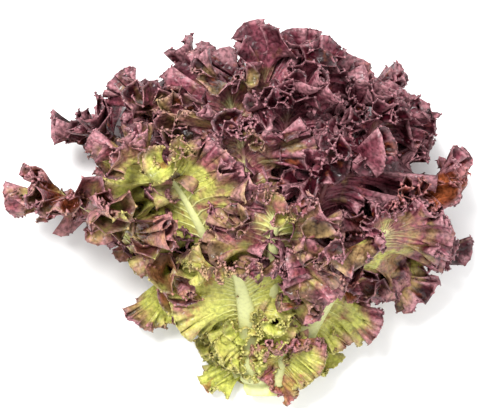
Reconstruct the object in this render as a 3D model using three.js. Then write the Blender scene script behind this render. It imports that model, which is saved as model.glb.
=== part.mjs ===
// A head of lollo rosso lettuce, cut at the stem and lying on its side.
//
// The head is drawn upright first, in round coordinates: a height along the
// stem, a distance from the stem's axis and an angle round it. The leaves leave
// the stem in a spiral. Each leaf lies on a bowl of its own, which opens a
// little less than the bowl of the leaf before it, so no two leaves meet.
// layDown() then lays the whole head on its side. Every slice across the stem
// is flattened a little on top and more underneath, where the leaves are
// pressed on the surface that the head lies on.
//
// The finished frame has +Y from the cut stem to the leaf tips, +Z up, and its
// origin on the resting surface, under the middle of the head. Lengths are in
// millimetres and angles in degrees.

import * as THREE from "three";

// ---- Driving dimensions ---------------------------------------------------

// The ball that the frilled leaf edges fill, measured from the cut stem.
const BALL_RADIUS = 114;
const BALL_HEIGHT = 113;
const BALL_CENTRE = 85;

// The stem, from its cut face to its growing tip.
const STEM_CUT_RADIUS = 11;
const STEM_SHOULDER_RADIUS = 12.5;
const STEM_SHOULDER = 5;
const STEM_TIP_RADIUS = 3.2;
const STEM_LENGTH = 48;
const STEM_SIDES = 20;
const STEM_STEPS = 5;

// The spiral of leaves, the lowest and outermost leaf first.
const LEAF_COUNT = 32;
const SPIRAL_STEP = 137.5;
const SPIRAL_START = 66;
const LOWEST_LEAF = 7;
const HIGHEST_LEAF = 42;

// How far a leaf leans from the stem's axis, at its base and LEAN_OVER further
// along it, for the outermost and the innermost leaf.
const OUTER_LEAN = [36, 74];
const INNER_LEAN = [1, 9];
const LEAN_OVER = 140;

// A leaf's half width, as an angle round the stem. Its thickness, for the
// outermost and the innermost leaf.
const BASE_HALF_ANGLE = 12;
const OUTER_HALF_ANGLE = 50;
const INNER_HALF_ANGLE = 60;
const BASE_THICKNESS = [3, 2];
const BLADE_THICKNESS = [1.8, 1.2];
const RIM_THICKNESS = [4, 2.2];
const TIP_ROUNDING = 0.26;
const STEM_GAP = 0.8;

// How much of its distance from the stem a leaf keeps once the head lies down.
const SIDE_SCALE = 1;
const TOP_SCALE = 0.68;
const UNDER_SCALE = 0.42;
const UNDER_SQUARENESS = 3;
const FLOOR_PRESS = 0.8;
// The height up the stem where the leaves are fully spread, and what they add
// under the stem itself. Past DROOP_START the leaves sag towards the surface.
const SPREAD_HEIGHT = 95;
const LEAF_CUSHION = 2;
const DROOP_START = 92;
const DROOP_LENGTH = 70;
const DROOP = 8;

// Leaves that stop short of the ball's surface or pass it, by their number.
const REACH = { 0: 0.34, 1: 0.8, 3: 0.7, 5: 0.9, 6: 1.17, 8: 0.84, 14: 1.1 };
// Leaves turned out of their place in the spiral by the weight of the head.
const TURNED = { 3: -9, 6: 6 };

const GROUPS = [
  { name: "basal_leaf", count: 3, rows: 6, columns: 6, colour: 0x9aa04f },
  { name: "outer_leaf", count: 11, rows: 8, columns: 10, colour: 0x6e3a45 },
  { name: "middle_leaf", count: 10, rows: 7, columns: 10, colour: 0x5b2a38 },
  { name: "heart_leaf", count: 8, rows: 6, columns: 8, colour: 0x74404a },
];

// ---- Small helpers --------------------------------------------------------

const radians = THREE.MathUtils.degToRad;
const mix = THREE.MathUtils.lerp;
const ease = (x) => THREE.MathUtils.smoothstep(x, 0, 1);

// ---- The upright head -----------------------------------------------------

// The stem's cone, which runs on past the blunt tip to a point.
function stemRadius(height) {
  const share = (height - STEM_SHOULDER) / (STEM_LENGTH - STEM_SHOULDER);
  const radius = mix(STEM_SHOULDER_RADIUS, STEM_TIP_RADIUS, Math.max(share, 0));
  return Math.max(radius, 0);
}

// The leaf's bowl: an arc from the stem outwards, in height and distance.
function bowlOf(order) {
  const base = mix(OUTER_LEAN[0], INNER_LEAN[0], order);
  const end = mix(OUTER_LEAN[1], INNER_LEAN[1], order);
  const height = mix(LOWEST_LEAF, HIGHEST_LEAF, order);
  const lean = radians(base);
  const thickness = mix(...BASE_THICKNESS, order);
  const clearance = thickness / 2 / Math.cos(lean) + STEM_GAP;
  const curve = radians(end - base) / LEAN_OVER;
  return { lean, curve, height, distance: stemRadius(height) + clearance };
}

// The point at a length along the bowl, moved out of it by a small offset.
function onBowl(bowl, along, offset) {
  const lean = bowl.lean + bowl.curve * along;
  const { sin, cos } = Math;
  const distance = bowl.distance + (cos(bowl.lean) - cos(lean)) / bowl.curve;
  const height = bowl.height + (sin(lean) - sin(bowl.lean)) / bowl.curve;
  return {
    distance: distance + offset * cos(lean),
    height: height - offset * sin(lean),
  };
}

// The length of bowl between the stem and the ball's surface.
function lengthToBall(bowl) {
  let short = 0;
  let long = 2 * BALL_HEIGHT;
  for (let halvings = 0; halvings < 40; halvings++) {
    const middle = (short + long) / 2;
    const at = onBowl(bowl, middle, 0);
    const up = (at.height - BALL_CENTRE) / BALL_HEIGHT;
    const inside = Math.hypot(at.distance / BALL_RADIUS, up) < 1;
    if (inside || at.height < BALL_CENTRE / 2) short = middle;
    else long = middle;
  }
  return short;
}

// ---- Laying the head down -------------------------------------------------

// The share of its distance from the stem that a point at this angle keeps.
function flattening(angle) {
  const across = Math.abs(Math.cos(angle)) / SIDE_SCALE;
  const under = Math.sin(angle) < 0;
  const upright = Math.abs(Math.sin(angle)) / (under ? UNDER_SCALE : TOP_SCALE);
  const power = under ? UNDER_SQUARENESS : 2;
  return (across ** power + upright ** power) ** (-1 / power);
}

// How high the stem's axis lies above the surface. It rises as the leaves
// under it spread out from the stem, and droops again towards their tips.
function axisHeight(height) {
  const core = stemRadius(height);
  const spread = mix(STEM_SHOULDER_RADIUS, BALL_RADIUS, ease(height / SPREAD_HEIGHT));
  const droop = DROOP * ease((height - DROOP_START) / DROOP_LENGTH);
  return core + (spread - core) * UNDER_SCALE + LEAF_CUSHION - droop;
}

// A point of the upright head, in the frame of the head that lies down.
function layDown({ distance, height }, angle) {
  const core = Math.min(stemRadius(height), distance);
  const kept = core + (distance - core) * flattening(angle);
  return new THREE.Vector3(
    kept * Math.cos(angle),
    height,
    axisHeight(height) + kept * Math.sin(angle),
  );
}

// ---- Pieces ---------------------------------------------------------------

// A closed skin round two equal grids of points: outer[row][column], inner.
function closedShell(outer, inner) {
  const rows = outer.length;
  const columns = outer[0].length;
  const points = [...outer.flat(), ...inner.flat()];
  const index = [];
  const front = (row, column) => row * columns + column;
  const back = (row, column) => rows * columns + front(row, column);
  const quad = (a, b, c, d) => index.push(a, c, b, a, d, c);
  for (let r = 0; r < rows - 1; r++) {
    for (let c = 0; c < columns - 1; c++) {
      quad(front(r, c), front(r, c + 1), front(r + 1, c + 1), front(r + 1, c));
      quad(back(r, c), back(r + 1, c), back(r + 1, c + 1), back(r, c + 1));
    }
    const last = columns - 1;
    quad(front(r, 0), front(r + 1, 0), back(r + 1, 0), back(r, 0));
    quad(front(r, last), back(r, last), back(r + 1, last), front(r + 1, last));
  }
  for (let c = 0; c < columns - 1; c++) {
    const last = rows - 1;
    quad(front(0, c), back(0, c), back(0, c + 1), front(0, c + 1));
    quad(front(last, c), front(last, c + 1), back(last, c + 1), back(last, c));
  }
  return new THREE.BufferGeometry().setFromPoints(points).setIndex(index);
}

// One leaf: a fan of blade that widens from its base and thickens at its rim,
// where the frills stand.
function leafGeometry(number, rows, columns) {
  const order = number / (LEAF_COUNT - 1);
  const bowl = bowlOf(order);
  const length = lengthToBall(bowl) * (REACH[number] ?? 1);
  const middle = SPIRAL_START + SPIRAL_STEP * number + (TURNED[number] ?? 0);
  const widest = mix(OUTER_HALF_ANGLE, INNER_HALF_ANGLE, order);
  const base = mix(...BASE_THICKNESS, order);
  const blade = mix(...BLADE_THICKNESS, order);
  const edge = mix(...RIM_THICKNESS, order);
  const skin = (side) =>
    Array.from({ length: rows + 1 }, (_, row) =>
      Array.from({ length: columns + 1 }, (_, column) => {
        const share = row / rows;
        const across = (2 * column) / columns - 1;
        const halfAngle = mix(BASE_HALF_ANGLE, widest, ease(share));
        const rounding = 1 - TIP_ROUNDING * Math.abs(across) ** 3 * share;
        const rim = Math.max(share ** 3, Math.abs(across) ** 4 * share);
        const body = mix(base, blade, ease(3 * share));
        const thickness = mix(body, edge, rim);
        const at = onBowl(bowl, length * share * rounding, (side * thickness) / 2);
        return layDown(at, radians(middle + across * halfAngle));
      }),
    );
  return closedShell(skin(1), skin(-1));
}

// The stem: a short tapering core with a flat cut face and a blunt tip.
function stemGeometry() {
  const cone = Array.from({ length: STEM_STEPS + 1 }, (_, step) => {
    const height = mix(STEM_SHOULDER, STEM_LENGTH, step / STEM_STEPS);
    return [stemRadius(height), height];
  });
  const outline = [
    [0, 0],
    [STEM_CUT_RADIUS, 0],
    ...cone,
    [0, STEM_LENGTH + STEM_TIP_RADIUS / 2],
  ].map(([distance, height]) => new THREE.Vector2(distance, height));
  const geometry = new THREE.LatheGeometry(outline, STEM_SIDES);
  const position = geometry.getAttribute("position");
  const point = new THREE.Vector3();
  for (let i = 0; i < position.count; i++) {
    point.fromBufferAttribute(position, i);
    const round = { distance: Math.hypot(point.x, point.z), height: point.y };
    const laid = layDown(round, Math.atan2(point.z, point.x));
    position.setXYZ(i, laid.x, laid.y, laid.z);
  }
  return geometry;
}

// What touches the surface is pressed flat on it.
function pressOnSurface(geometry, surface) {
  const position = geometry.getAttribute("position");
  for (let i = 0; i < position.count; i++) {
    position.setZ(i, Math.max(position.getZ(i), surface));
  }
  return geometry;
}

// ---- The head -------------------------------------------------------------

function mesh(name, geometry, colour, roughness) {
  const material = new THREE.MeshStandardMaterial({
    color: colour,
    roughness,
    metalness: 0,
  });
  const made = new THREE.Mesh(geometry, material);
  made.name = name;
  return made;
}

function lettuce() {
  const head = new THREE.Group();
  head.add(mesh("cut_stem", stemGeometry(), 0xdfe3b4, 0.6));
  let number = 0;
  for (const group of GROUPS) {
    for (let i = 1; i <= group.count; i++) {
      const name = `${group.name}_${String(i).padStart(2, "0")}`;
      const geometry = leafGeometry(number, group.rows, group.columns);
      head.add(mesh(name, geometry, group.colour, 0.5));
      number += 1;
    }
  }
  const lowest = new THREE.Box3().setFromObject(head, true).min.z;
  const surface = lowest + FLOOR_PRESS;
  head.traverse((piece) => piece.isMesh && pressOnSurface(piece.geometry, surface));
  const box = new THREE.Box3().setFromObject(head, true);
  const middle = box.getCenter(new THREE.Vector3());
  head.position.set(-middle.x, -middle.y, -box.min.z);
  return head;
}

export default lettuce();
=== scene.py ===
"""A head of lollo rosso lettuce, cut at the stem and lying on its side.

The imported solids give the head's size and place. This file dresses them. Each
leaf solid becomes a thin leaf with a midrib, side veins and a toothed edge
that has grown too long for the leaf, so that it gathers in frills. The stem
solid becomes a scarred core with a cut face.

Lengths are in metres and angles in degrees, unless a name says otherwise. +Y
runs from the cut stem to the leaf tips and +Z up from the surface that the
head lies on.
"""

import math

import bpy
import numpy as np
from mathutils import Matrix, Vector


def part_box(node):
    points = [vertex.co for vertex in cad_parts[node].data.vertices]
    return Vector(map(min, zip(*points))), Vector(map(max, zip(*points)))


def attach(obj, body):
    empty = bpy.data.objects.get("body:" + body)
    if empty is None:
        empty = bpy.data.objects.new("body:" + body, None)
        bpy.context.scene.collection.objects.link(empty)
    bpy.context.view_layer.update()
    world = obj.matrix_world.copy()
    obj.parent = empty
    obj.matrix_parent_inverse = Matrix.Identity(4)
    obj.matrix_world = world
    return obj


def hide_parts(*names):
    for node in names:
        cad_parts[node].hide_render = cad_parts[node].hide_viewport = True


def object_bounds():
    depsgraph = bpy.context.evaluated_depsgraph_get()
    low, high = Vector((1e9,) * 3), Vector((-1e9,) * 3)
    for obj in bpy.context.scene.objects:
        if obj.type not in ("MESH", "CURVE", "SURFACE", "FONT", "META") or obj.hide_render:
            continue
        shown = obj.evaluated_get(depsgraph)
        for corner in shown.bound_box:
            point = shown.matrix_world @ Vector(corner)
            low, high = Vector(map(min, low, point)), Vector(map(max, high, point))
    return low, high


bl_info = {
    "name": "Lollo Rosso Lettuce",
    "version": (1, 0, 0),
    "blender": (4, 5, 0),
    "location": "View3D > Sidebar > Lettuce",
    "description": "Dresses a head of lettuce with frilled leaves",
    "category": "Object",
}

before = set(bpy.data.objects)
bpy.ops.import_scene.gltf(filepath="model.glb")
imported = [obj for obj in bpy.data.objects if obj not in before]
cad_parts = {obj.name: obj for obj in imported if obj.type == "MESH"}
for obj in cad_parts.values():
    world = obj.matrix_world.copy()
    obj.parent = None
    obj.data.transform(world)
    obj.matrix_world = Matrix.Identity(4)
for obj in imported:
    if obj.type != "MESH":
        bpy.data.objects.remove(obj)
CAD_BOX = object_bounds()

# ---- The head, as the solids have it ----------------------------------------

# The ball that the leaf edges fill, measured from the cut stem.
BALL_RADIUS, BALL_HEIGHT, BALL_CENTRE = 0.114, 0.113, 0.085
# The stem's cone.
CUT_RADIUS, SHOULDER_RADIUS, SHOULDER_HEIGHT = 0.011, 0.0125, 0.005
TIP_RADIUS, STEM_LENGTH, STEM_STEPS = 0.0032, 0.048, 5
# The spiral of leaves, the lowest and outermost leaf first.
LEAF_COUNT, SPIRAL_STEP, SPIRAL_START = 32, 137.5, 66
LOWEST_LEAF, HIGHEST_LEAF = 0.007, 0.042
OUTER_LEAN, INNER_LEAN, LEAN_OVER = (36, 74), (1, 9), 0.140
BASE_HALF_ANGLE, OUTER_HALF_ANGLE, INNER_HALF_ANGLE = 12, 50, 60
TIP_ROUNDING, STEM_GAP, BASE_THICKNESS = 0.26, 0.0008, (0.003, 0.002)
REACH = {0: 0.34, 1: 0.8, 3: 0.7, 5: 0.9, 6: 1.17, 8: 0.84, 14: 1.1}
TURNED = {3: -9, 6: 6}
# How the head is flattened as it lies down.
SIDE_SCALE, TOP_SCALE, UNDER_SCALE, UNDER_SQUARENESS = 1.0, 0.68, 0.42, 3
SPREAD_HEIGHT, LEAF_CUSHION = 0.095, 0.002
DROOP_START, DROOP_LENGTH, DROOP = 0.092, 0.070, 0.008


def mix(a, b, share):
    return a + (b - a) * share


def ease(x, low=0.0, high=1.0):
    """0 below low and 1 above high, with a smooth rise between them."""
    x = np.clip((np.asarray(x, float) - low) / (high - low), 0, 1)
    return x * x * (3 - 2 * x)


def stem_radius(height):
    share = (height - SHOULDER_HEIGHT) / (STEM_LENGTH - SHOULDER_HEIGHT)
    return np.maximum(mix(SHOULDER_RADIUS, TIP_RADIUS, np.maximum(share, 0)), 0)


def flattening(angle):
    """The share of its distance from the stem that a point at this angle keeps."""
    across = np.abs(np.cos(angle)) / SIDE_SCALE
    under = np.sin(angle) < 0
    upright = np.abs(np.sin(angle)) / np.where(under, UNDER_SCALE, TOP_SCALE)
    power = np.where(under, UNDER_SQUARENESS, 2)
    return (across**power + upright**power) ** (-1 / power)


def axis_height(height):
    core = stem_radius(height)
    spread = mix(SHOULDER_RADIUS, BALL_RADIUS, ease(height / SPREAD_HEIGHT))
    droop = DROOP * ease((height - DROOP_START) / DROOP_LENGTH)
    return core + (spread - core) * UNDER_SCALE + LEAF_CUSHION - droop


def head_place():
    """Where the stem's axis would meet its cut face at height 0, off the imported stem."""
    low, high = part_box("cut_stem")
    heights = np.linspace(SHOULDER_HEIGHT, STEM_LENGTH, STEM_STEPS + 1)
    top = np.max(axis_height(heights) + stem_radius(heights))
    return np.array([(low.x + high.x) / 2, low.y, high.z - top])


PLACE = head_place()


def lay_down(distance, height, angle):
    """Points of the upright head, in the frame of the head that lies down."""
    core = np.minimum(stem_radius(height), distance)
    kept = core + (distance - core) * flattening(angle)
    up = axis_height(height) + kept * np.sin(angle)
    return np.stack(np.broadcast_arrays(kept * np.cos(angle), height, up), -1) + PLACE


class Bowl:
    """The arc that one leaf lies on, from the stem outwards."""

    def __init__(self, number):
        order = number / (LEAF_COUNT - 1)
        base, end = (mix(a, b, order) for a, b in zip(OUTER_LEAN, INNER_LEAN))
        self.number, self.order = number, order
        self.lean = math.radians(base)
        self.curve = math.radians(end - base) / LEAN_OVER
        self.height = mix(LOWEST_LEAF, HIGHEST_LEAF, order)
        clearance = mix(*BASE_THICKNESS, order) / 2 / math.cos(self.lean) + STEM_GAP
        self.distance = float(stem_radius(self.height)) + clearance
        self.length = self.length_to_ball() * REACH.get(number, 1)
        self.middle = SPIRAL_START + SPIRAL_STEP * number + TURNED.get(number, 0)
        self.widest = mix(OUTER_HALF_ANGLE, INNER_HALF_ANGLE, order)

    def at(self, along, offset=0.0):
        """Distance from the axis and height of a point on the arc."""
        lean = self.lean + self.curve * along
        distance = self.distance + (math.cos(self.lean) - np.cos(lean)) / self.curve
        height = self.height + (np.sin(lean) - math.sin(self.lean)) / self.curve
        return distance + offset * np.cos(lean), height - offset * np.sin(lean)

    def length_to_ball(self):
        short, long = 0.0, 2 * BALL_HEIGHT
        for _ in range(40):
            middle = (short + long) / 2
            distance, height = self.at(middle)
            up = (height - BALL_CENTRE) / BALL_HEIGHT
            if math.hypot(distance / BALL_RADIUS, up) < 1 or height < BALL_CENTRE / 2:
                short = middle
            else:
                long = middle
        return short

    def half_angle(self, share):
        return mix(BASE_HALF_ANGLE, self.widest, ease(share))

    def point(self, share, across, offset=0.0):
        """share runs from the leaf's base to its tip, across from -1 to 1."""
        rounding = 1 - TIP_ROUNDING * np.abs(across) ** 3 * share
        distance, height = self.at(self.length * share * rounding, offset)
        angle = np.radians(self.middle + across * self.half_angle(share))
        return lay_down(distance, height, angle)

    @property
    def upright(self):
        """1 for a leaf on top of the head and -1 for one under it."""
        return math.sin(math.radians(self.middle))

    @property
    def faces_up(self):
        return self.upright > LOWEST_UPWARD


# ---- Growing the frills -----------------------------------------------------

# How far up a leaf has to face to get side veins and the finest stage of growth.
LOWEST_UPWARD = -0.2
# Where along the midrib the edge starts, how far it then reaches on the outermost
# leaf and how much further on the innermost, and how full its sides and tip are.
EDGE_START, EDGE_REACH, EXTRA_REACH = 0.07, 0.90, 0.09
SIDE_FULLNESS, TIP_FULLNESS = 0.85, 0.62
# How far a leaf stands off its solid, and the length of the waves in that and
# their height. Then the same for the curl of its edge, with the limits of the
# curl and how far a curled edge lifts.
STAND, STAND_WAVE, STAND_VARIES = 0.008, 0.045, 0.007
CURL_WAVE, CURL_VARIES, CURL_LIMITS, CURL_LIFT = 0.035, 0.34, (-0.08, 0.6), 0.020
# How much leaves grow outwards from the midrib, and the share of the usual
# room that frills have on leaves under the head.
OUTWARD_GROWTH, LOW_FRILLS = 0.15, 0.5
# Share of the way to its neighbours' middle that the last softening moves a point.
SOFTENING = 0.4

FIRST_ROWS, FIRST_COLUMNS = 3, 61
# Each stage: whether it doubles the rows and the columns, how many times its
# own length the edge has grown to, how far folds are pushed out to start them,
# how many rounds the leaf takes to settle and how strongly it resists creases.
# Leaves that are hardly seen stop after the first HIDDEN_STAGES of them.
STAGES = (
    (False, False, 1.5, 0.0080, 60, 0.20),
    (True, True, 2.4, 0.0050, 90, 0.18),
    (True, True, 4.0, 0.0042, 90, 0.12),
    (False, True, 5.8, 0.0038, 80, 0.06),
    (False, True, 8.5, 0.0024, 70, 0.05),
)
HIDDEN_STAGES = 4
# How a leaf differs from the usual: bare is where along its veins the growth
# starts, curl how far its edge folds back over the leaf, ripe how much redder
# it is, blush how orange, rib how wide its midrib is and long how long it is.
USUAL = {"bare": 0.12, "curl": 0.13, "ripe": 0.0, "blush": 0.0, "rib": 1.0, "long": 1.0}
TRAITS = {
    0: {"bare": 0.30, "curl": 0.25, "ripe": 0.20, "blush": 0.5},
    1: {"bare": 0.30, "curl": 0.35, "ripe": -0.10, "long": 0.8},
    2: {"bare": 0.30, "curl": 0.30, "ripe": -0.10},
    3: {"bare": 0.66, "curl": -0.06, "ripe": -0.50, "rib": 2.4, "long": 1.06},
    4: {"ripe": -0.1},
    5: {"bare": 0.60, "curl": -0.04, "ripe": -0.35, "rib": 2.0},
    6: {"ripe": -0.35, "blush": 0.5},
    8: {"bare": 0.52, "curl": -0.02, "ripe": -0.45, "rib": 2.0},
    10: {"blush": 0.9},
    11: {"bare": 0.42, "curl": 0.0, "ripe": -0.50, "rib": 1.4},
    13: {"bare": 0.08, "curl": 0.30, "ripe": 0.2},
    16: {"bare": 0.3, "ripe": -0.35},
    18: {"ripe": 0.2},
    19: {"ripe": -0.25},
    21: {"ripe": 0.15},
    24: {"ripe": -0.20},
    26: {"ripe": 0.2},
    29: {"ripe": 0.1},
}


def trait(number, name):
    return TRAITS.get(number, {}).get(name, USUAL[name])


def unit(v):
    return v / np.maximum(np.linalg.norm(v, axis=-1, keepdims=True), 1e-12)


def outward(p):
    """Normals of a grid of points, pointing away from the head's heart."""
    return unit(np.cross(np.gradient(p, axis=0), np.gradient(p, axis=1)))


def wander(rng, x, span, waves=5):
    """A smooth random line with values near -1 to 1."""
    value = np.zeros_like(x)
    for _ in range(waves):
        length = span * rng.uniform(0.5, 1.6)
        value += np.sin(2 * math.pi * (x / length + rng.random()))
    return value / math.sqrt(waves / 2) / 1.6


def leaf_edge(bowl, count):
    """Points evenly apart along a leaf's edge, as shares of its length and width."""
    w = np.linspace(-1, 1, 1200)
    turn = np.abs(w) * math.pi / 2
    across = np.sign(w) * np.sin(turn) ** SIDE_FULLNESS
    reach = (EDGE_REACH + EXTRA_REACH * bowl.order) * trait(bowl.number, "long")
    share = EDGE_START + reach * np.cos(turn) ** TIP_FULLNESS
    line = bowl.point(share, across)
    steps = np.linalg.norm(np.diff(line, axis=0), axis=1)
    arc = np.concatenate([[0], np.cumsum(steps)])
    at = np.linspace(0, arc[-1], count)
    return np.interp(at, arc, across), np.interp(at, arc, share), at


def row_places(count):
    """Places of the grid's rows between the midrib, 0, and the edge, 1."""
    r = np.linspace(0, 1, count)
    return 0.45 * r + 0.55 * (1 - (1 - r) ** 1.7)


def base_grid(bowl, rows, columns):
    """The leaf before its edge grows: columns follow its side veins."""
    across, share, x = (v[None] for v in leaf_edge(bowl, columns))
    t = row_places(rows)[:, None]
    rib = 0.90 * ((share - EDGE_START) / share.max()) ** 1.25
    rng = np.random.default_rng(77 + bowl.number)
    curl = trait(bowl.number, "curl") + CURL_VARIES * wander(rng, x, CURL_WAVE)
    back = np.clip(curl, *CURL_LIMITS) * ease(t, 0.35, 1.0) * min(1, bowl.length / 0.12)
    stand = (STAND + STAND_VARIES * wander(rng, x, STAND_WAVE)) * ease(t, 0.3, 0.9)
    t = t * (1 - back)
    lifted = stand + CURL_LIFT * back * ease(t, 0.4, 1)
    return bowl.point(mix(rib, share, t**0.92), across * t, lifted)


def halve_steps(p, axis):
    """A grid with one more point between each two of it along an axis."""
    p = np.moveaxis(p, axis, 0)
    out = np.empty((2 * len(p) - 1,) + p.shape[1:], p.dtype)
    out[::2] = p
    out[1::2] = (p[1:] + p[:-1]) / 2
    return np.moveaxis(out, 0, axis)


def pairs(rows, columns, down, across):
    """Slices of both ends of a family of grid edges, in two sets that share no point."""
    near, far, every = slice(0, columns - 1), slice(1, columns), slice(0, columns)
    for odd in (0, 1):
        if down:
            ends = {0: (every, every), 1: (near, far), -1: (far, near)}[across]
            yield (slice(odd, rows - 1, 2), ends[0]), (slice(odd + 1, rows, 2), ends[1]), odd
        else:
            first, second = slice(odd, columns - 1, 2), slice(odd + 1, columns, 2)
            yield (slice(0, rows), first), (slice(0, rows), second), odd


def pull(p, rest, down, across, stiff, weight):
    """Moves the ends of each grid edge towards its rest length."""
    for a, b, odd in pairs(*p.shape[1:3], down, across):
        a, b = (slice(None), *a), (slice(None), *b)
        wanted = rest[:, odd::2] if down else rest[:, :, odd::2]
        gap = p[b] - p[a]
        length = np.sqrt(np.einsum("...i,...i->...", gap, gap)) + 1e-9
        share = stiff * (1 - wanted / length) / (weight[a] + weight[b] + 1e-6)
        gap *= share[..., None]
        p[a] += gap * weight[a][..., None]
        p[b] -= gap * weight[b][..., None]


def bumps(rng, rows, columns, cell=5):
    """Random values over a grid, with bumps of about cell columns."""
    kernel = np.hanning(cell + 2)
    kernel /= np.sqrt((kernel**2).sum())
    v = rng.normal(size=(rows, columns + 4 * cell))
    v = np.array([np.convolve(line, kernel, "same") for line in v])[:, 2 * cell : -2 * cell]
    for _ in range(3):
        v[1:-1] = (v[:-2] + 2 * v[1:-1] + v[2:]) / 4
    return v


def rest_lengths(base, t, bare, growth):
    """Lengths that the grid's edges want to have once the leaf's edge has grown."""
    g = 1 + (growth - 1) * ease((t - bare) / (1.05 - bare)) ** 1.2
    along = np.linalg.norm(np.diff(base, axis=2), axis=-1) * g
    outwards = np.linalg.norm(np.diff(base, axis=1), axis=-1)
    outwards = outwards * (1 + OUTWARD_GROWTH * ease(t[:, 1:], 0.3, 1.0))
    mean_along = (along[:, :-1] + along[:, 1:]) / 2
    mean_out = (outwards[:, :, :-1] + outwards[:, :, 1:]) / 2
    return [v.astype(np.float32) for v in (along, outwards, np.hypot(mean_along, mean_out))]


def settle(p, base, rest, weight, roam, rounds, stiffness):
    """Lets grown leaves buckle, each point near its place and above the surface."""
    along, outwards, diagonal = rest
    for _ in range(rounds):
        pull(p, along, 0, 1, 0.9, weight)
        pull(p, outwards, 1, 0, 0.9, weight)
        pull(p, diagonal, 1, 1, 0.25, weight)
        pull(p, diagonal, 1, -1, 0.25, weight)
        stiff = stiffness * weight[..., None]
        p[:, :, 1:-1] += stiff[:, :, 1:-1] * ((p[:, :, :-2] + p[:, :, 2:]) / 2 - p[:, :, 1:-1])
        p[:, 1:-1] += stiff[:, 1:-1] * ((p[:, :-2] + p[:, 2:]) / 2 - p[:, 1:-1])
        away = p - base
        far = np.linalg.norm(away, axis=-1)
        kept = np.minimum(1, roam / np.maximum(far, 1e-9))
        p += away * (0.5 * (kept - 1))[..., None]
        p[..., 2] = np.maximum(p[..., 2], 0.0006)


def grow_leaves(bowls, stages, growth_scale, fold_scale, roam):
    """Grows the edges of some leaves together, from coarse folds to fine ones."""
    rngs = [np.random.default_rng(1000 + bowl.number) for bowl in bowls]
    bare = np.array([trait(bowl.number, "bare") for bowl in bowls])[:, None, None]
    upright = np.array([bowl.upright for bowl in bowls])
    room = (roam * mix(LOW_FRILLS, 1.0, ease(upright, LOWEST_UPWARD, 0.6)))[:, None, None]
    rows, columns, p = FIRST_ROWS, FIRST_COLUMNS, None
    for more_rows, more_columns, growth, push, rounds, stiffness in stages:
        if more_rows:
            rows, p = 2 * rows - 1, halve_steps(p, 1)
        if more_columns:
            columns, p = 2 * columns - 1, halve_steps(p, 2)
        base = np.stack([base_grid(bowl, rows, columns) for bowl in bowls]).astype(np.float32)
        p = base.copy() if p is None else p
        t = row_places(rows)[None, :, None]
        rest = rest_lengths(base, t, bare, 1 + (growth - 1) * growth_scale)
        weight = (ease(t, 0.03, 0.3) + 0 * base[..., 0]).astype(np.float32)
        normal = np.stack([outward(q) for q in p])
        noise = np.stack([bumps(rng, rows, columns) for rng in rngs])
        p = p + normal * (push * fold_scale * noise * ease(t, 0.1, 0.9))[..., None]
        p = p.astype(np.float32)
        reach = (room * ease(t, 0.15, 1.0) + 1e-4).astype(np.float32)
        settle(p, base, rest, weight, reach, rounds, stiffness)
    p[:, :, 1:-1] += SOFTENING * ((p[:, :, :-2] + p[:, :, 2:]) / 2 - p[:, :, 1:-1])
    p[:, 1:-1] += SOFTENING * ((p[:, :-2] + p[:, 2:]) / 2 - p[:, 1:-1])
    return p.astype(float), row_places(rows)


# ---- Meshes -----------------------------------------------------------------

SHEET, VEIN, TOOTH = 0, 1, 2
# fold drives painted light: a painted highlight on the crests of the folds and painted shade in their
# valleys.
MASKS = ("edge", "rib", "inside", "ripe", "blush", "fold")
# How wide the map is used, and the strips of it that a leaf's two faces, its
# midrib, and its veins and teeth take up.
MAP_SIDES = (0.01, 0.99)
FRONT_STRIP, BACK_STRIP = (0.01, 0.46), (0.48, 0.93)
RIB_STRIP, TRIM_STRIP = (0.94, 0.965), (0.975, 0.995)
# Sides of a midrib, and how high a fold stands to count as a full crest.
BAR_SIDES, CREST_HEIGHT = 14, 0.0022
# How far from the stem a leaf starts to turn red and is fully red.
RIPE_FROM, RIPE_TO = 0.050, 0.130
# A place on the head that was shaded and stayed green: its middle, its size
# across and along the head, and how much greener it is.
SHADED_PLACE, SHADED_SIZE, SHADED_BY = (-0.045, -0.025), (0.034, 0.060), 0.45
# Share of the box and length that a frill may pass the solids' box by.
SPARE_SHARE, SPARE_LENGTH = 0.03, 0.0085
# About how many side veins a leaf has, and how far out they run.
SIDE_VEINS, VEIN_REACH = 56, 0.62
# How flat the teeth are, and how their sizes vary.
TOOTH_FLATNESS, TOOTH_SIZES = 0.16, (0.45, 1.25)


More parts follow.
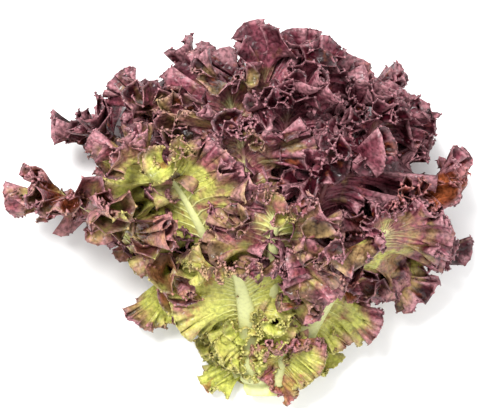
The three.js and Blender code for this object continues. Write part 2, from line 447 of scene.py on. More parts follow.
class Parts:
    """Collects the points, faces and masks of one piece."""

    def __init__(self):
        self.points, self.quads, self.lines = [], [], []
        self.uv, self.extra = [], {}
        self.count = 0

    def add(self, points, kind, quads=(), lines=(), uv=None, **values):
        """Adds points with their faces or lines, and a value of each mask for them."""
        number = len(points)
        self.points.append(points)
        if len(quads):
            self.quads.append(np.asarray(quads) + self.count)
            self.uv.append(uv)
        if len(lines):
            self.lines.append(np.asarray(lines) + self.count)
        values["kind"] = kind
        for name, value in values.items():
            full = np.broadcast_to(np.asarray(value, float), (number,) + np.shape(value)[1:])
            self.extra.setdefault(name, []).append((self.count, full))
        self.count += number

    def mesh(self, name, widths):
        """The mesh, with an attribute for each name in widths (1 or 3 numbers a point)."""
        mesh = bpy.data.meshes.new(name)
        quads = np.concatenate(self.quads)
        mesh.vertices.add(self.count)
        mesh.vertices.foreach_set("co", np.concatenate(self.points).astype(np.float32).ravel())
        if self.lines:
            lines = np.concatenate(self.lines)
            mesh.edges.add(len(lines))
            mesh.edges.foreach_set("vertices", lines.astype(np.int32).ravel())
        mesh.loops.add(quads.size)
        mesh.loops.foreach_set("vertex_index", quads.astype(np.int32).ravel())
        mesh.polygons.add(len(quads))
        mesh.polygons.foreach_set("loop_start", np.arange(0, quads.size, 4, dtype=np.int32))
        mesh.update(calc_edges=True)
        layer = mesh.uv_layers.new(name="OFBake", do_init=False)
        layer.uv.foreach_set("vector", np.concatenate(self.uv).astype(np.float32).ravel())
        for key, width in widths.items():
            full = np.zeros((self.count, width))
            for first, value in self.extra.get(key, ()):
                full[first : first + len(value)] = value.reshape(len(value), -1)
            form, field = {1: ("FLOAT", "value"), 3: ("FLOAT_VECTOR", "vector")}[width]
            made = mesh.attributes.new(key, form, "POINT")
            made.data.foreach_set(field, full.astype(np.float32).ravel())
        mesh.shade_smooth()
        return mesh


def grid_faces(index):
    corners = index[:-1, :-1], index[:-1, 1:], index[1:, 1:], index[1:, :-1]
    return np.stack(corners, -1).reshape(-1, 4)


def grid_uv(rows, columns, low, high):
    """The map's places for a grid of points, in a strip between two heights."""
    u, v = np.meshgrid(np.linspace(*MAP_SIDES, columns), np.linspace(low, high, rows))
    return np.stack([u, v], -1).reshape(-1, 2)


def facing_out(points, quads):
    """The faces of a closed shape, turned round if they face inwards."""
    a, b, c, d = (points[quads[:, k]] for k in range(4))
    volume = np.einsum("ij,ij->", a, np.cross(b, c)) + np.einsum("ij,ij->", a, np.cross(c, d))
    return quads[:, ::-1] if volume < 0 else quads


def add_closed_rings(parts, rings, low, high, margin=0.0, **masks):
    """A tube through rings of points, closed round the middles of its ends.

    It takes a strip of the map from low to high, and the ends a margin more."""
    rows, around = rings.shape[:2]
    points = np.concatenate([rings.reshape(-1, 3), rings[[0, -1]].mean(1)])
    points[:, 2] = np.maximum(points[:, 2], 0.0)
    index = np.arange(rows * around).reshape(rows, around)
    quads = grid_faces(np.concatenate([index, index[:, :1]], 1))
    first, last = rows * around, rows * around + 1
    caps = [
        [centre, ring[k], ring[(k + 1) % around], ring[(k + 2) % around]]
        for ring, centre in ((index[0][::-1], first), (index[-1], last))
        for k in range(0, around, 2)
    ]
    quads = facing_out(points, np.concatenate([quads, caps]))
    u = np.concatenate([np.tile(np.linspace(*MAP_SIDES, around), rows), [0.5, 0.5]])
    v = np.repeat(np.linspace(low, high, rows), around)
    v = np.concatenate([v, [low - margin, high + margin]])
    parts.add(points, SHEET, quads, uv=np.stack([u, v], -1)[quads.ravel()], **masks)


def crests(p):
    """1 on the crests of a sheet's folds and 0 in its valleys, seen from outside. The leaf finish paints
    a highlight on the crests and shade in the valleys from it.
    """
    middle = p.copy()
    middle[:, 2:-2] = (p[:, :-4] + p[:, 4:]) / 2
    middle[1:-1] = (middle[1:-1] + (p[:-2] + p[2:]) / 2) / 2
    height = np.einsum("...i,...i->...", p - middle, outward(p))
    return np.clip(0.5 + height / CREST_HEIGHT, 0, 1)


def add_sheet(parts, p, thickness, **masks):
    """A closed thin shell round a grid of points. Its first side faces outwards."""
    rows, columns = p.shape[:2]
    shift = outward(p) * thickness[..., None] / 2
    points = np.concatenate([(p + shift).reshape(-1, 3), (p - shift).reshape(-1, 3)])
    points[:, 2] = np.maximum(points[:, 2], 0.0)
    front = np.arange(rows * columns).reshape(rows, columns)
    back = front + rows * columns

    def wall(a, b):
        return np.stack([a[:-1], a[1:], b[1:], b[:-1]], -1)

    quads = np.concatenate([
        grid_faces(front)[:, ::-1],
        grid_faces(back),
        wall(front[-1], back[-1])[:, ::-1],
        wall(front[0], back[0]),
        wall(front[:, 0], back[:, 0])[:, ::-1],
        wall(front[:, -1], back[:, -1]),
    ])
    strips = FRONT_STRIP, BACK_STRIP
    places = np.concatenate([grid_uv(rows, columns, *strip) for strip in strips])
    values = {name: np.tile(np.ravel(value), 2) for name, value in masks.items()}
    values["inside"] = np.repeat([0.0, 1.0], rows * columns)
    # The fold mask, for a painted highlight on crests and painted shade in valleys; on the inner face
    # crests and valleys swap.
    crest = crests(p).ravel()
    values["fold"] = np.concatenate([crest, 1 - crest])
    parts.add(points, SHEET, quads, uv=places[quads.ravel()], **values)


def crowned_rings(centres, sides, ups, widths, heights):
    """Rings of a bar that is flat on its inner side and crowned on its outer one."""
    turn = np.linspace(0, 2 * math.pi, BAR_SIDES + 1)[:-1]
    up = np.sin(turn)
    lift = np.where(up > 0, np.abs(up) ** 0.8, 0.35 * up)
    return (
        centres[:, None]
        + sides[:, None] * (widths[:, None] * np.cos(turn))[..., None]
        + ups[:, None] * (heights[:, None] * lift)[..., None]
    )


def turns(x, z):
    """XYZ Euler angles that turn +X to x and +Z to z, for arrays of directions."""
    y = unit(np.cross(z, x))
    z = np.cross(x, y)
    return np.stack([
        np.arctan2(y[:, 2], z[:, 2]),
        -np.arcsin(np.clip(x[:, 2], -1, 1)),
        np.arctan2(x[:, 1], x[:, 0]),
    ], -1)


def in_box(p):
    """Frills stay within what the solids' box allows soft edges."""
    for axis in range(3):
        low, high = CAD_BOX[0][axis], CAD_BOX[1][axis]
        spare = SPARE_SHARE * (high - low) + SPARE_LENGTH
        p[..., axis] = np.minimum(p[..., axis], high + spare)
        if axis < 2:
            p[..., axis] = np.maximum(p[..., axis], low - spare)
    return p


def ripeness(p, away):
    """How red a spot is: more so further from the stem, less so where others shaded it."""
    across, along = ((p[..., k] - SHADED_PLACE[k]) / SHADED_SIZE[k] for k in range(2))
    return ease(away, RIPE_FROM, RIPE_TO) - SHADED_BY * np.exp(-(across**2) - along**2)


def add_midrib(parts, bowl, settings, stem_foot, size, **masks):
    """A crowned bar along the middle of a leaf, on its outer side."""
    share = np.linspace(0.02, 0.86, 40)
    centre = bowl.point(share, 0.0, 0.0004)
    beside = unit(bowl.point(share, 0.02) - bowl.point(share, -0.02))
    above = unit(bowl.point(share, 0.0, 0.001) - bowl.point(share, 0.0, -0.001))
    width = size * mix(settings.rib_width / 2, 0.0006, share**0.75)
    centre[:, 2] = np.maximum(centre[:, 2], 0.001)
    away = np.linalg.norm(centre - stem_foot, axis=-1)
    ripe = ripeness(centre, away) + trait(bowl.number, "ripe")
    rings = crowned_rings(centre, beside, above, width, width * settings.rib_crown)
    ripe = np.concatenate([np.repeat(ripe, BAR_SIDES), ripe[[0, -1]]])
    masks |= {"rib": 1.0, "edge": 0.0, "inside": 0.0, "ripe": ripe, "fold": 0.6}
    add_closed_rings(parts, rings, *RIB_STRIP, **masks)


def add_side_veins(parts, skin, settings, size, edge, ripe, **masks):
    """Lines that run out of the midrib over a leaf's outer face, thinner as they go."""
    rows, columns = skin.shape[:2]
    reach = max(3, int(rows * VEIN_REACH))
    taper = np.linspace(1, 0, reach)
    thickness = (0.4 * size + 0.4) * mix(0.00012, settings.vein_width / 2, taper**1.5)
    chain = np.arange(reach)
    links = np.stack([chain[:-1], chain[1:]], -1)
    for column in range(columns // 60, columns, columns // SIDE_VEINS):
        parts.add(
            skin[:reach, column], VEIN, lines=links, vein_size=thickness, rib=0.3 + 0.4 * taper,
            edge=edge[:reach, column], ripe=ripe[:reach, column], fold=0.6, **masks,
        )


def leaf_piece(name, node, bowl, p, t, settings):
    """One finished leaf: its blade, midrib, side veins and teeth."""
    rng = np.random.default_rng(5000 + bowl.number)
    p = in_box(p)
    stem_foot = PLACE + np.array([0, 0, float(axis_height(0.0))])
    away = np.linalg.norm(p - stem_foot, axis=-1)
    edge = t[:, None] + 0 * away
    ripe = ripeness(p, away + 0.022 * edge + 0.006 * rng.normal()) + trait(bowl.number, "ripe")
    blush, broad = trait(bowl.number, "blush"), trait(bowl.number, "rib")
    rib = 0.7 * (1 - ease(edge, 0.02, 0.12 * broad))
    rim = ease(edge, 0.94, 1.0)
    thickness = mix(settings.blade_thickness, 0.5 * settings.blade_thickness, rim)
    size = mix(1.0, 0.62, bowl.order) * broad
    parts = Parts()
    add_sheet(parts, p, thickness, edge=edge, rib=rib, ripe=ripe, blush=np.full_like(ripe, blush))
    add_midrib(parts, bowl, settings, stem_foot, size, blush=blush)
    if bowl.faces_up:
        skin = p + outward(p) * settings.blade_thickness * 0.4
        add_side_veins(parts, skin, settings, size, edge, ripe, blush=blush)

    # Where the teeth stand on the edge, and which way they point.
    spots = np.arange(1, p.shape[1] - 1)
    spots = spots[rng.random(len(spots)) < settings.tooth_share]
    out, normal = unit(p[-1] - p[-2])[spots], outward(p)[-1][spots]
    parts.add(
        p[-1, spots] - 0.0002 * out, TOOTH, turn=turns(out, normal),
        edge=1.0, inside=0.5, ripe=ripe[-1, spots], blush=blush, fold=0.7,
    )
    mesh = parts.mesh(name, {"kind": 1, "vein_size": 1, "turn": 3} | {mask: 1 for mask in MASKS})
    piece = bpy.data.objects.new(name, mesh)
    bpy.context.scene.collection.objects.link(piece)
    finish_with(piece, trimmings_tree(), {
        "Tooth Length": settings.tooth_length, "Tooth Width": settings.tooth_width,
        "Seed": 40 + bowl.number, "Finish": leaf_material(),
    })
    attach(piece, "root")
    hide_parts(node)
    return piece


# ---- Geometry Nodes ---------------------------------------------------------

def new_node(tree, kind, inputs=None, **properties):
    node = tree.nodes.new(kind)
    for name, value in properties.items():
        setattr(node, name, value)
    for key, value in (inputs or {}).items():
        if isinstance(value, bpy.types.NodeSocket):
            tree.links.new(value, node.inputs[key])
        else:
            node.inputs[key].default_value = value
    return node


def mask_of(tree, name, kind="FLOAT"):
    node = new_node(tree, "GeometryNodeInputNamedAttribute", {"Name": name}, data_type=kind)
    return node.outputs["Attribute"]


def trimmings_tree():
    """Turns the lines of a leaf into side veins and its loose points into teeth."""
    name = "leaf_trimmings"
    if name in bpy.data.node_groups:
        return bpy.data.node_groups[name]
    tree = bpy.data.node_groups.new(name, "GeometryNodeTree")
    face = tree.interface
    face.new_socket("Geometry", in_out="INPUT", socket_type="NodeSocketGeometry")
    for label, kind, value in (
        ("Tooth Length", "NodeSocketFloat", 0.002),
        ("Tooth Width", "NodeSocketFloat", 0.001),
        ("Seed", "NodeSocketInt", 0),
        ("Finish", "NodeSocketMaterial", None),
    ):
        socket = face.new_socket(label, in_out="INPUT", socket_type=kind)
        if value is not None:
            socket.default_value = value
    face.new_socket("Geometry", in_out="OUTPUT", socket_type="NodeSocketGeometry")
    given = new_node(tree, "NodeGroupInput").outputs
    kind = mask_of(tree, "kind")

    def made(kind, inputs=None, **properties):
        return new_node(tree, "GeometryNode" + kind, inputs, **properties).outputs

    def chosen(geometry, number):
        """The points of one kind, and the rest."""
        same = new_node(
            tree, "FunctionNodeCompare", {"A": kind, "B": float(number), "Epsilon": 0.1},
            data_type="FLOAT", operation="EQUAL",
        )
        inputs = {"Geometry": geometry, "Selection": same.outputs["Result"]}
        parted = made("SeparateGeometry", inputs, domain="POINT")
        return parted["Selection"], parted["Inverted"]

    def together(*geometries):
        joined = new_node(tree, "GeometryNodeJoinGeometry")
        for geometry in geometries:
            tree.links.new(geometry, joined.inputs["Geometry"])
        return made("RealizeInstances", {"Geometry": joined.outputs["Geometry"]})["Geometry"]

    veins, rest = chosen(given["Geometry"], VEIN)
    teeth, sheet = chosen(rest, TOOTH)
    lines = made("MeshToCurve", {"Mesh": veins})["Curve"]
    profile = made("CurvePrimitiveCircle", {"Resolution": 5, "Radius": 1.0})["Curve"]
    tubes = made("CurveToMesh", {
        "Curve": lines, "Profile Curve": profile, "Scale": mask_of(tree, "vein_size"), "Fill Caps": True,
    })["Mesh"]
    cone = made("MeshCone", {
        "Vertices": 3, "Radius Top": 0.0,
        "Radius Bottom": given["Tooth Width"], "Depth": given["Tooth Length"],
    }, fill_type="NGON")["Mesh"]
    flat = {"Geometry": cone, "Rotation": (0, math.pi / 2, 0), "Scale": (1, 1, TOOTH_FLATNESS)}
    turn = {"Euler": mask_of(tree, "turn", "FLOAT_VECTOR")}
    low, high = TOOTH_SIZES
    size = {2: low, 3: high, "Seed": given["Seed"]}
    stood = made("InstanceOnPoints", {
        "Points": teeth, "Instance": made("Transform", flat)["Geometry"],
        "Rotation": new_node(tree, "FunctionNodeEulerToRotation", turn).outputs["Rotation"],
        "Scale": new_node(tree, "FunctionNodeRandomValue", size, data_type="FLOAT").outputs[1],
    })["Instances"]
    place = made("InputPosition")["Position"]
    strip = new_node(tree, "ShaderNodeMapRange", {
        "Vector": place, 7: (-0.14, -0.12, 0.0), 8: (0.14, 0.12, 0.13),
        9: (MAP_SIDES[0], TRIM_STRIP[0], 0.0), 10: (MAP_SIDES[1], TRIM_STRIP[1], 0.0),
    }, data_type="FLOAT_VECTOR")
    mapped = made("StoreNamedAttribute", {
        "Geometry": together(stood, tubes), "Name": "OFBake", "Value": strip.outputs["Vector"],
    }, data_type="FLOAT2", domain="CORNER")["Geometry"]
    whole = together(mapped, sheet)
    above = new_node(tree, "ShaderNodeVectorMath", {0: place, 1: (-1, -1, 0)}, operation="MAXIMUM")
    lying = made("SetPosition", {"Geometry": whole, "Position": above.outputs[0]})["Geometry"]
    smooth = made("SetShadeSmooth", {"Geometry": lying})["Geometry"]
    finished = made("SetMaterial", {"Geometry": smooth, "Material": given["Finish"]})
    new_node(tree, "NodeGroupOutput", {"Geometry": finished["Geometry"]})
    return tree


def finish_with(piece, tree, values):
    """Runs a tree on a piece and keeps the result as its plain mesh."""
    modifier = piece.modifiers.new(tree.name, "NODES")
    modifier.node_group = tree
    for item in tree.interface.items_tree:
        if item.in_out == "INPUT" and item.name in values:
            modifier[item.identifier] = values[item.name]
    graph = bpy.context.evaluated_depsgraph_get()
    made = bpy.data.meshes.new_from_object(piece.evaluated_get(graph))
    made.name = piece.name
    made.materials.clear()
    made.materials.append(values["Finish"])
    made.polygons.foreach_set("material_index", np.zeros(len(made.polygons), np.int32))
    rough = piece.data
    piece.modifiers.remove(modifier)
    piece.data = made
    bpy.data.meshes.remove(rough)
    for name in ("kind", "vein_size", "turn"):
        if name in made.attributes:
            made.attributes.remove(made.attributes[name])


# ---- Finishes ---------------------------------------------------------------

def mixed(tree, share, first, second, blend="MIX"):
    inputs = {0: share, 6: first, 7: second}
    return new_node(tree, "ShaderNodeMix", inputs, data_type="RGBA", blend_type=blend).outputs[2]


def spread(tree, value, low, high, to_low=0.0, to_high=1.0):
    node = new_node(
        tree, "ShaderNodeMapRange", {0: value, 1: low, 2: high, 3: to_low, 4: to_high},
        interpolation_type="SMOOTHSTEP",
    )
    return node.outputs[0]


def maths(tree, operation, first, second):
    return new_node(tree, "ShaderNodeMath", {0: first, 1: second}, operation=operation).outputs[0]


def mottle(tree, where, scale, detail=3.0):
    node = new_node(tree, "ShaderNodeTexNoise", {"Vector": where, "Scale": scale, "Detail": detail})
    return node.outputs["Fac"]


# The colours that the leaf tissue takes, and the settings they come from.
LEAF_COLOURS = {
    "Young": "young", "Turning": "turning", "Ripe Colour": "ripe", "Outer Face": "outer_face",
    "Rib Colour": "rib", "Blush Colour": "blush", "Crest": "crest",
}


def tissue_group():
    """Leaf colour, gloss and relief from how ripe and how near the edge a spot is."""
    name = "leaf_tissue"
    if name in bpy.data.node_groups:
        return bpy.data.node_groups[name]
    tree = bpy.data.node_groups.new(name, "ShaderNodeTree")
    face = tree.interface
    for label in ("Edge", "Rib", "Inside", "Ripe", "Blush", "Fold"):
        face.new_socket(label, in_out="INPUT", socket_type="NodeSocketFloat")
    for label in LEAF_COLOURS:
        face.new_socket(label, in_out="INPUT", socket_type="NodeSocketColor")
    face.new_socket("Color", in_out="OUTPUT", socket_type="NodeSocketColor")
    face.new_socket("Roughness", in_out="OUTPUT", socket_type="NodeSocketFloat")
    face.new_socket("Height", in_out="OUTPUT", socket_type="NodeSocketFloat")
    given = new_node(tree, "NodeGroupInput").outputs
    where = new_node(tree, "ShaderNodeTexCoord").outputs["Object"]
    broad, middling, fine = (mottle(tree, where, scale) for scale in (38.0, 110.0, 520.0))

    def add(first, second):
        return maths(tree, "ADD", first, second)

    def times(first, second):
        return maths(tree, "MULTIPLY", first, second)

    def most(first, second):
        return maths(tree, "MAXIMUM", first, second)

    def rise(value, *ends):
        return spread(tree, value, *ends)

    def darkened(colour, share):
        grey = new_node(tree, "ShaderNodeCombineColor", {0: share, 1: share, 2: share}).outputs[0]
        return mixed(tree, 1.0, colour, grey, "MULTIPLY")

    # Ripeness, uneven over the leaf and higher at its edge.
    uneven = add(times(broad, 1.7), times(middling, 1.1))
    ripe = add(given["Ripe"], maths(tree, "SUBTRACT", uneven, 1.4))
    ripe = add(ripe, rise(given["Edge"], 0.35, 1.0, -0.10, 0.20))
    colour = mixed(tree, rise(ripe, 0.10, 0.55), given["Young"], given["Turning"])
    colour = mixed(tree, rise(ripe, 0.50, 0.95), colour, given["Ripe Colour"])
    # Blush in patches, and the paler outer face.
    glow = times(given["Blush"], rise(broad, 0.45, 0.62))
    glow = most(glow, rise(middling, 0.60, 0.70, 0.0, 0.55))
    colour = mixed(tree, glow, colour, given["Blush Colour"])
    outside = maths(tree, "SUBTRACT", 1.0, given["Inside"])
    outer = times(outside, rise(ripe, 0.2, 0.8, 0.20, 0.75))
    outer = times(outer, rise(ripe, 0.9, 1.35, 1.0, 0.75))
    outer = times(outer, rise(middling, 0.35, 0.62, 0.22, 1.0))
    colour = mixed(tree, outer, colour, given["Outer Face"])
    veined = times(given["Rib"], rise(ripe, 0.35, 0.80, 1.0, 0.05))
    colour = mixed(tree, veined, colour, given["Rib Colour"])
    # Painted highlight on the crests of the folds and on the rims, and painted shade in the valleys.
    painted_highlight = most(rise(given["Edge"], 0.90, 1.0, 0.0, 0.6), rise(given["Fold"], 0.62, 1.0, 0.0, 0.75))
    painted_highlight = times(painted_highlight, rise(ripe, 0.3, 0.9, 0.30, 1.0))
    painted_highlight = times(painted_highlight, rise(ripe, 0.9, 1.35, 1.0, 0.7))
    colour = mixed(tree, painted_highlight, colour, given["Crest"])
    # Painted shade: the valleys of the folds are darkened by the fold mask.
    colour = darkened(colour, rise(given["Fold"], 0.1, 0.6, 0.45, 1.0))
    # Fine speckles, weaker on ribs and on green leaf.
    strength = times(rise(given["Rib"], 0.1, 0.8, 1.0, 0.25), rise(ripe, 0.2, 0.9, 0.2, 0.42))
    speckle = times(strength, rise(fine, 0.34, 0.66, -1.0, 1.0))
    colour = darkened(colour, add(1.0, speckle))
    blisters = new_node(
        tree, "ShaderNodeTexVoronoi", {"Vector": where, "Scale": 260.0}, feature="DISTANCE_TO_EDGE"
    ).outputs["Distance"]
    relief = add(rise(blisters, 0.0, 0.35), times(fine, 0.5))
    relief = times(relief, rise(given["Rib"], 0.2, 0.9, 1.0, 0.1))
    gloss = rise(fine, 0.3, 0.7, 0.24, 0.48)
    new_node(tree, "NodeGroupOutput", {"Color": colour, "Roughness": gloss, "Height": relief})
    return tree


def rgba(colour):
    return (*colour, 1.0)


def leaf_material():
    name = "leaf"
    if name in bpy.data.materials:
        return bpy.data.materials[name]
    colours = bpy.context.scene.lettuce_colours
    material = bpy.data.materials.new(name)
    material.use_nodes = True
    tree = material.node_tree
    tree.nodes.clear()
    masks = {
        mask.capitalize(): new_node(tree, "ShaderNodeAttribute", attribute_name=mask).outputs["Fac"]
        for mask in MASKS
    }
    tissue = new_node(tree, "ShaderNodeGroup", node_tree=tissue_group())
    for label, value in masks.items():
        tree.links.new(value, tissue.inputs[label])
    for label, setting in LEAF_COLOURS.items():
        tissue.inputs[label].default_value = rgba(getattr(colours, setting))
    relief = new_node(
        tree, "ShaderNodeBump", {"Height": tissue.outputs["Height"], "Distance": 0.0004, "Strength": 0.7}
    )
    skin = new_node(
        tree, "ShaderNodeBsdfPrincipled",
        {
            "Base Color": tissue.outputs["Color"], "Roughness": tissue.outputs["Roughness"],
            "Normal": relief.outputs["Normal"], "IOR": 1.42,
        },
    )
    through = new_node(tree, "ShaderNodeBsdfTranslucent", {"Color": tissue.outputs["Color"]})
    both = new_node(
        tree, "ShaderNodeMixShader", {0: 0.25, 1: skin.outputs["BSDF"], 2: through.outputs["BSDF"]}
    )
    new_node(tree, "ShaderNodeOutputMaterial", {"Surface": both.outputs["Shader"]})
    return material


def stem_material():
    colours = bpy.context.scene.lettuce_colours
    material = bpy.data.materials.new("stem")
    material.use_nodes = True
    tree = material.node_tree
    tree.nodes.clear()
    where = new_node(tree, "ShaderNodeTexCoord").outputs["Object"]
    blotch, fine = mottle(tree, where, 150.0), mottle(tree, where, 900.0)
    along = new_node(tree, "ShaderNodeMapping", {"Vector": where, "Scale": (1, 0.15, 1)})
    fibres = mottle(tree, along.outputs["Vector"], 900.0)
    cut = new_node(tree, "ShaderNodeAttribute", attribute_name="cut").outputs["Fac"]
    colour = mixed(tree, spread(tree, blotch, 0.4, 0.7), rgba(colours.rib), rgba(colours.young))
    pale, dark = (0.55, 0.42, 0.22, 1), (0.36, 0.22, 0.10, 1)
    browned = mixed(tree, spread(tree, fine, 0.35, 0.65), pale, dark)
    across = new_node(tree, "ShaderNodeAttribute", attribute_name="across").outputs["Fac"]
    across = maths(tree, "ADD", across, spread(tree, blotch, 0.3, 0.7, -0.08, 0.08))
    inner, outer = spread(tree, across, 0.45, 0.72), spread(tree, across, 0.80, 0.95, 1.0, 0.25)
    ring = maths(tree, "MULTIPLY", inner, outer)
    browned = mixed(tree, ring, colour, browned)
    colour = mixed(tree, maths(tree, "MULTIPLY", cut, 0.85), colour, browned)
    relief = new_node(tree, "ShaderNodeBump", {"Height": fibres, "Distance": 0.0004, "Strength": 0.6})
    skin = new_node(
        tree, "ShaderNodeBsdfPrincipled",
        {
            "Base Color": colour, "Roughness": spread(tree, fine, 0.3, 0.7, 0.4, 0.6),
            "Normal": relief.outputs["Normal"],
        },
    )
    new_node(tree, "ShaderNodeOutputMaterial", {"Surface": skin.outputs["BSDF"]})
    return material


# ---- Settings ---------------------------------------------------------------

def number_setting(label, words, default, least=0.0, **more):
    return bpy.props.FloatProperty(name=label, description=words, default=default, min=least, **more)


def length_setting(label, words, default):
    return number_setting(label, words, default, subtype="DISTANCE", unit="LENGTH")


def power_setting(label, words, default):
    return number_setting(label, words, default, subtype="POWER", unit="POWER")


def colour_setting(label, words, default):
    return bpy.props.FloatVectorProperty(
        name=label, description=words, default=default, min=0.0, max=1.0, size=3, subtype="COLOR"
    )


class LettuceLeaves(bpy.types.PropertyGroup):
    """Sizes of the leaves' details."""

    blade_thickness: length_setting("Blade Thickness", "How thick the leaves are", 0.00042)
    rib_width: length_setting("Rib Width", "Width of an outer leaf's midrib at its base", 0.009)
    rib_crown: number_setting(
        "Rib Crown", "Height of a midrib as a share of its half width", 0.75, 0.1, max=1.5
    )
    vein_width: length_setting("Vein Width", "Width of a side vein where it leaves the midrib", 0.0019)
    growth: number_setting(
        "Edge Growth", "How much the edges outgrow the leaves, as a share of the usual", 1.0, max=2.0
    )
    folding: number_setting(
        "Folding", "How far folds are pushed out, as a share of the usual", 1.0, max=2.0
    )
    frill_depth: length_setting("Frill Depth", "How far the frills stand off the leaf", 0.022)
    tooth_length: length_setting("Tooth Length", "Length of the teeth on the edge", 0.0040)
    tooth_width: length_setting("Tooth Width", "Half width of the teeth on the edge", 0.0014)
    tooth_share: number_setting(
        "Teeth", "Share of the places on the edge that carry a tooth", 0.8, max=1.0
    )


class LettuceColours(bpy.types.PropertyGroup):
    """Colours of the leaves and the stem."""

    young: colour_setting("Young", "Leaf near the stem", (0.66, 0.68, 0.15))
    turning: colour_setting("Turning", "Leaf between green and red", (0.40, 0.26, 0.11))
    ripe: colour_setting("Ripe", "Inner face of a ripe edge", (0.055, 0.004, 0.010))
    outer_face: colour_setting("Outer Face", "Outer face of a ripe edge", (0.38, 0.105, 0.145))
    # The crest colour is a painted highlight on the crests and rims of the frills.
    crest: colour_setting("Crest", "Painted highlight on the crests and rims of the frills", (0.58, 0.28, 0.31))
    rib: colour_setting("Rib", "Midribs and the stem", (0.76, 0.78, 0.36))
    blush: colour_setting("Blush", "Patches on the sunny side", (0.42, 0.11, 0.035))


class LettuceStage(bpy.types.PropertyGroup):
    """The floor, the lights and the camera."""

    floor_colour: colour_setting("Floor", "Colour of the floor", (0.95, 0.95, 0.95))
    sky: number_setting("Sky", "Strength of the soft light all round", 0.92)
    key: power_setting("Key", "Power of the key light", 21.0)
    fill: power_setting("Fill", "Power of the fill light", 5.5)
    view_width: length_setting("View Width", "Width that the camera takes in at the head", 0.268)
    lens: number_setting(
        "Lens", "Focal length of the camera", 100.0, 10.0, subtype="DISTANCE_CAMERA", unit="CAMERA"
    )


# ---- Operators --------------------------------------------------------------

LEAF_GROUPS = (("basal_leaf", 3), ("outer_leaf", 11), ("middle_leaf", 10), ("heart_leaf", 8))


def leaf_names(group):
    """(leaf number, node name) for the leaves of one group."""
    number, found = 0, []
    for name, count in LEAF_GROUPS:
        for i in range(1, count + 1):
            if name == group:
                found.append((number, f"{name}_{i:02d}"))
            number += 1
    return found


def make_leaves(group):
    settings = bpy.context.scene.lettuce_leaves
    nodes = {number: node for number, node in leaf_names(group)}
    bowls = [Bowl(number) for number in nodes]
    seen = [bowl for bowl in bowls if bowl.faces_up and group != "heart_leaf"]
    hidden = [bowl for bowl in bowls if bowl not in seen]
    for some, stages in ((seen, STAGES), (hidden, STAGES[:HIDDEN_STAGES])):
        if not some:
            continue
        sheets, t = grow_leaves(some, stages, settings.growth, settings.folding, settings.frill_depth)
        for bowl, p in zip(some, sheets):
            node = nodes[bowl.number]
            leaf_piece(f"frilled_{node}", node, bowl, p, t, settings)


class LETTUCE_OT_stem(bpy.types.Operator):
    """Make the stem with its cut face"""

    bl_idname = "lettuce.stem"
    bl_label = "Stem"

    def execute(self, context):
        rng = np.random.default_rng(3)
        around = 64
        heights = np.concatenate([np.linspace(0.0, 0.006, 7), np.linspace(0.008, STEM_LENGTH, 22)])
        turn = np.linspace(0, 2 * math.pi, around + 1)[:-1]
        # Rings of the hollowed cut face: share of its radius and depth.
        rings = [(0.18, 0.0012), (0.55, 0.0009), (0.80, 0.0004), (0.93, 0.0001)]
        rows, cut = [], []
        for share, depth in rings:
            rows.append((share * CUT_RADIUS + 0 * turn, depth + 0 * turn))
            cut.append(1.0)
        scars = wander(rng, turn / (2 * math.pi), 0.21)
        for height in heights:
            rounding = mix(CUT_RADIUS, SHOULDER_RADIUS, ease(height / SHOULDER_HEIGHT))
            radius = rounding if height < SHOULDER_HEIGHT else float(stem_radius(height))
            ridge = 0.0005 * np.sin(9 * turn + 300 * height) + 0.0004 * scars
            rows.append((radius + ridge * ease(height, 0.0, 0.003), height + 0 * turn))
            cut.append(float(1 - ease(height, 0.0, 0.002)))
        ring_points = np.stack([lay_down(np.array(d), h, turn) for d, h in rows])
        ring_points[..., 2] = np.maximum(ring_points[..., 2], 0.0)
        cut = np.concatenate([np.repeat(cut, around), [1.0, 0.0]])
        across = [share for share, depth in rings] + [1.0] * len(heights)
        across = np.concatenate([np.repeat(across, around), [0.0, 1.0]])
        parts = Parts()
        add_closed_rings(parts, ring_points, 0.02, 0.98, 0.01, cut=cut, across=across)
        piece = bpy.data.objects.new("stem_core", parts.mesh("stem_core", {"cut": 1, "across": 1}))
        context.scene.collection.objects.link(piece)
        piece.data.materials.append(stem_material())
        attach(piece, "root")
        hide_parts("cut_stem")
        return {"FINISHED"}


class LETTUCE_OT_basal_leaves(bpy.types.Operator):
    """Make the small leaves at the very base"""

    bl_idname = "lettuce.basal_leaves"
    bl_label = "Basal Leaves"

    def execute(self, context):
        make_leaves("basal_leaf")
        return {"FINISHED"}


class LETTUCE_OT_outer_leaves(bpy.types.Operator):
    """Make the broad outer leaves"""

    bl_idname = "lettuce.outer_leaves"
    bl_label = "Outer Leaves"

    def execute(self, context):
        make_leaves("outer_leaf")
        return {"FINISHED"}


class LETTUCE_OT_middle_leaves(bpy.types.Operator):
    """Make the leaves that fill the middle of the head"""

    bl_idname = "lettuce.middle_leaves"
    bl_label = "Middle Leaves"

    def execute(self, context):
        make_leaves("middle_leaf")
        return {"FINISHED"}


class LETTUCE_OT_heart_leaves(bpy.types.Operator):
    """Make the upright leaves of the heart"""

    bl_idname = "lettuce.heart_leaves"
    bl_label = "Heart Leaves"

    def execute(self, context):
        make_leaves("heart_leaf")
        return {"FINISHED"}


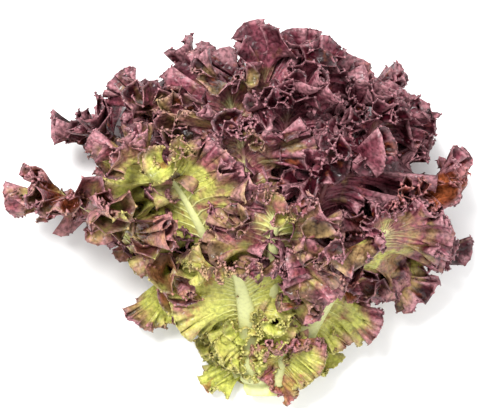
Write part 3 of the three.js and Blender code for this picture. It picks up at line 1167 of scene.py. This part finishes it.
class LETTUCE_OT_stage(bpy.types.Operator):
    """Make the floor, the lights and the camera"""

    bl_idname = "lettuce.stage"
    bl_label = "Stage"

    def execute(self, context):
        settings = context.scene.lettuce_stage
        scene = context.scene
        mesh = bpy.data.meshes.new("floor")
        half = 3.0
        corners = [(-half, -half, 0), (half, -half, 0), (half, half, 0), (-half, half, 0)]
        mesh.from_pydata(corners, [], [(0, 1, 2, 3)])
        floor = bpy.data.objects.new("floor", mesh)
        scene.collection.objects.link(floor)
        pale = bpy.data.materials.new("pale_floor")
        pale.use_nodes = True
        shader = pale.node_tree.nodes["Principled BSDF"]
        shader.inputs["Base Color"].default_value = rgba(settings.floor_colour)
        shader.inputs["Roughness"].default_value = 0.9
        mesh.materials.append(pale)
        sky = bpy.data.worlds.new("studio")
        sky.use_nodes = True
        glow = sky.node_tree.nodes["Background"].inputs
        glow["Strength"].default_value = settings.sky
        glow["Color"].default_value = (1, 1, 1, 1)
        scene.world = sky
        middle = (CAD_BOX[0] + CAD_BOX[1]) / 2
        for name, place, power, size in (
            ("key", (-0.30, 0.40, 1.2), settings.key, 0.35),
            ("fill", (0.8, -0.4, 0.9), settings.fill, 0.9),
        ):
            light = bpy.data.lights.new(name, "AREA")
            light.energy, light.size = power, size
            lamp = bpy.data.objects.new(name, light)
            lamp.location = place
            lamp.rotation_euler = (middle - Vector(place)).to_track_quat("-Z", "Y").to_euler()
            scene.collection.objects.link(lamp)
        data = bpy.data.cameras.new("camera")
        data.lens, data.sensor_width = settings.lens, 36.0
        camera = bpy.data.objects.new("camera", data)
        target = middle + Vector((0.001, 0.0065, 0.0))
        away = Vector((0, -0.06, 1)).normalized() * settings.view_width * data.lens / data.sensor_width
        camera.location = target + away
        camera.rotation_euler = (-away).to_track_quat("-Z", "Y").to_euler()
        scene.collection.objects.link(camera)
        scene.camera = camera
        scene.view_settings.view_transform = "Standard"
        return {"FINISHED"}


class LETTUCE_PT_panel(bpy.types.Panel):
    """Lists the steps that make the head"""

    bl_idname = "LETTUCE_PT_panel"
    bl_label = "Lettuce"
    bl_space_type = "VIEW_3D"
    bl_region_type = "UI"
    bl_category = "Lettuce"

    def draw(self, context):
        for group in GROUPS:
            column = self.layout.column(align=True)
            column.label(text=group.removeprefix("lettuce_").capitalize())
            settings = getattr(context.scene, group)
            for name in settings.__annotations__:
                column.prop(settings, name)
        for step in STEPS:
            self.layout.operator(step.bl_idname)


STEPS = (
    LETTUCE_OT_stage,
    LETTUCE_OT_stem,
    LETTUCE_OT_basal_leaves,
    LETTUCE_OT_outer_leaves,
    LETTUCE_OT_middle_leaves,
    LETTUCE_OT_heart_leaves,
)
GROUPS = {
    "lettuce_leaves": LettuceLeaves,
    "lettuce_colours": LettuceColours,
    "lettuce_stage": LettuceStage,
}


def register():
    for group in GROUPS.values():
        bpy.utils.register_class(group)
    for step in (*STEPS, LETTUCE_PT_panel):
        bpy.utils.register_class(step)
    for name, group in GROUPS.items():
        setattr(bpy.types.Scene, name, bpy.props.PointerProperty(type=group))


def unregister():
    for name in GROUPS:
        delattr(bpy.types.Scene, name)
    for made in (LETTUCE_PT_panel, *reversed(STEPS), *reversed(GROUPS.values())):
        bpy.utils.unregister_class(made)


def main():
    register()
    for step in STEPS:
        section, action = step.bl_idname.split(".")
        getattr(getattr(bpy.ops, section), action)()


if __name__ == "__main__":
    main()
